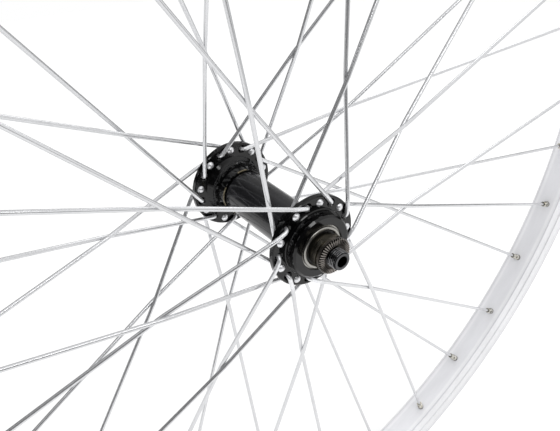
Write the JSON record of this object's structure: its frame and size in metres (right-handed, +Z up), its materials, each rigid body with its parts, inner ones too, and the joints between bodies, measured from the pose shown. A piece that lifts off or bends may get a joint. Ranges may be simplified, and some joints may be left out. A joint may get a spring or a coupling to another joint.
{
  "type": "bicycle front wheel",
  "caption": "Spoked bicycle front wheel without a tyre: alloy clincher rim, crossed wire spokes and a flanged hub on a hollow quick-release axle.",
  "frame": {"origin": "centre of the wheel, on the axle's axis and midway between the two locknut faces", "axes": "+Y along the axle towards the bicycle's left side, +Z up, +X forward"},
  "size_m": [0.5711, 0.1092, 0.5712],
  "materials": {
    "rim_alloy": "satin anodised, machined sidewalls",
    "sleeve_alloy": "plain extruded",
    "hub_black": "gloss black anodised",
    "axle_steel": "black oxide, threaded",
    "nipple_plate": "nickel-plated brass",
    "race_steel": "ground",
    "ball_steel": "polished",
    "cage_steel": "pressed sheet",
    "cone_steel": "dark zinc",
    "seal_rubber": "matte",
    "cap_metal": "satin zinc",
    "locknut_steel": "dark zinc with a serrated face",
    "spoke_steel": "bright zinc-plated wire"
  },
  "bodies": {
    "axle_set": {"axle": "axle_steel", "cone_left": "cone_steel", "cone_right": "cone_steel", "cone_seal_left": "seal_rubber", "cone_seal_right": "seal_rubber", "keyed_washer_left": "cone_steel", "keyed_washer_right": "cone_steel", "locknut_left": "locknut_steel", "locknut_right": "locknut_steel"},
    "wheel": {"rim": "rim_alloy", "rim_joint_sleeve": "sleeve_alloy", "hub_shell": "hub_black", "spoke_nipples": "nipple_plate", "spoke_left_01": "spoke_steel", "spoke_left_02": "spoke_steel", "spoke_left_03": "spoke_steel", "spoke_left_04": "spoke_steel", "spoke_left_05": "spoke_steel", "spoke_left_06": "spoke_steel", "spoke_left_07": "spoke_steel", "spoke_left_08": "spoke_steel", "spoke_left_09": "spoke_steel", "spoke_left_10": "spoke_steel", "spoke_left_11": "spoke_steel", "spoke_left_12": "spoke_steel", "spoke_left_13": "spoke_steel", "spoke_left_14": "spoke_steel", "spoke_left_15": "spoke_steel", "spoke_left_16": "spoke_steel", "spoke_left_17": "spoke_steel", "spoke_left_18": "spoke_steel", "spoke_right_01": "spoke_steel", "spoke_right_02": "spoke_steel", "spoke_right_03": "spoke_steel", "spoke_right_04": "spoke_steel", "spoke_right_05": "spoke_steel", "spoke_right_06": "spoke_steel", "spoke_right_07": "spoke_steel", "spoke_right_08": "spoke_steel", "spoke_right_09": "spoke_steel", "spoke_right_10": "spoke_steel", "spoke_right_11": "spoke_steel", "spoke_right_12": "spoke_steel", "spoke_right_13": "spoke_steel", "spoke_right_14": "spoke_steel", "spoke_right_15": "spoke_steel", "spoke_right_16": "spoke_steel", "spoke_right_17": "spoke_steel", "spoke_right_18": "spoke_steel", "bearing_cup_left": "race_steel", "bearing_cup_right": "race_steel", "dust_cap_left": "cap_metal", "dust_cap_right": "cap_metal"},
    "balls_left": {"bearing_balls_left": "ball_steel", "ball_retainer_left": "cage_steel"},
    "balls_right": {"bearing_balls_right": "ball_steel", "ball_retainer_right": "cage_steel"}
  },
  "joints": [
    {"name": "wheel_spin", "type": "hinge", "parent": "axle_set", "child": "wheel", "pos_m": [0, 0, 0], "axis": [0, 1, 0], "continuous": true},
    {"name": "balls_left_roll", "type": "hinge", "parent": "axle_set", "child": "balls_left", "pos_m": [0, 0.0366, 0], "axis": [0, 1, 0], "continuous": true},
    {"name": "balls_right_roll", "type": "hinge", "parent": "axle_set", "child": "balls_right", "pos_m": [0, -0.0366, 0], "axis": [0, 1, 0], "continuous": true}
  ],
  "couplings": [
    {"joint": "balls_left_roll", "follows": "wheel_spin", "ratio": 0.6108},
    {"joint": "balls_right_roll", "follows": "wheel_spin", "ratio": 0.6108}
  ]
}
